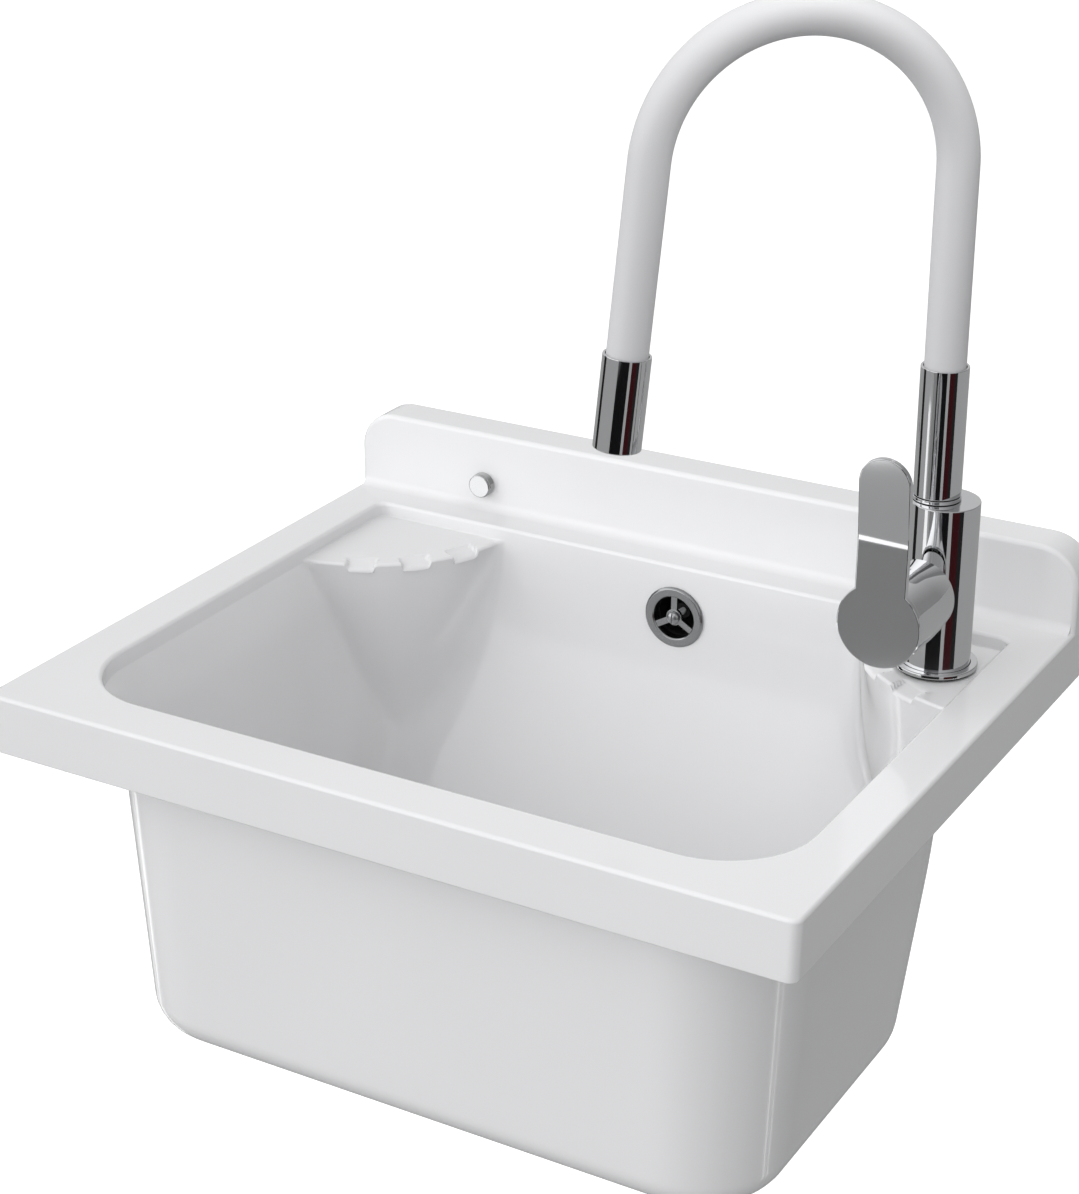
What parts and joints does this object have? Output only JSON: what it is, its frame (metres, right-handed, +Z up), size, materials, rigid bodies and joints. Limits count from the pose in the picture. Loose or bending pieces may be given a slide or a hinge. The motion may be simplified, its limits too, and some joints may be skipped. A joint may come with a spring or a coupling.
{
  "type": "utility laundry sink with mixer tap",
  "caption": "Wall-hung white utility sink with a deep bowl, splashback, soap dish and a single-lever mixer tap with a flexible gooseneck spout.",
  "frame": {"origin": "on the wall plane, in the middle of the sink's width, level with the top of the rim", "axes": "+Z up, +Y into the wall, +X to the right of a person standing at the sink"},
  "size_m": [0.55, 0.4949, 0.7437],
  "materials": {
    "basin_white": "smooth glossy white",
    "chrome": "polished",
    "steel": "satin stainless",
    "brass": "turned",
    "black_rubber": "matte",
    "white_plastic": "satin",
    "grey_plastic": "satin",
    "hose_white": "smooth white silicone"
  },
  "bodies": {
    "sink": {"basin_bowl": "basin_white", "basin_rim": "basin_white", "basin_splashback": "basin_white", "wall_screw_left": "steel", "wall_screw_right": "steel", "screw_washer_left": "white_plastic", "screw_washer_right": "white_plastic", "screw_cap_left": "chrome", "screw_cap_right": "chrome", "overflow_rosette": "chrome", "overflow_screw": "steel", "overflow_seal": "black_rubber", "overflow_body": "grey_plastic", "overflow_pipe": "white_plastic", "waste_strainer": "steel", "waste_screw": "steel", "waste_seal": "black_rubber", "waste_body": "white_plastic", "tap_body": "chrome", "tap_shank": "brass", "tap_flange": "chrome", "tap_seal": "black_rubber", "tap_gasket": "black_rubber", "tap_backing_plate": "steel", "tap_nut": "brass", "cartridge": "white_plastic", "cartridge_nut": "brass", "spout_nipple": "brass", "spout_seal": "black_rubber", "spout_swivel_ring": "chrome"},
    "mixer_carrier": {"cartridge_carrier": "grey_plastic", "lever_pivot_pin": "steel"},
    "mixer_lever": {"lever_stem": "brass", "lever": "chrome", "lever_grub_screw": "steel"},
    "spout": {"spout_collar": "chrome", "spout_hose": "hose_white", "spout_hose_core": "grey_plastic", "nozzle_sleeve": "chrome", "aerator": "white_plastic", "aerator_seal": "black_rubber"}
  },
  "joints": [
    {"name": "spout_swivel", "type": "hinge", "parent": "sink", "child": "spout", "pos_m": [0.2016, -0.0987, 0.104], "axis": [0, 0, 1], "range_deg": [-50, 110]},
    {"name": "lever_turn", "type": "hinge", "parent": "sink", "child": "mixer_carrier", "pos_m": [0.2076, -0.0987, 0.05], "axis": [0, -0.9981, 0.061], "range_deg": [-45, 45]},
    {"name": "lever_lift", "type": "hinge", "parent": "mixer_carrier", "child": "mixer_lever", "pos_m": [0.2076, -0.13463, 0.0522], "axis": [1, 0, 0], "range_deg": [-12.5, 12.5]}
  ]
}
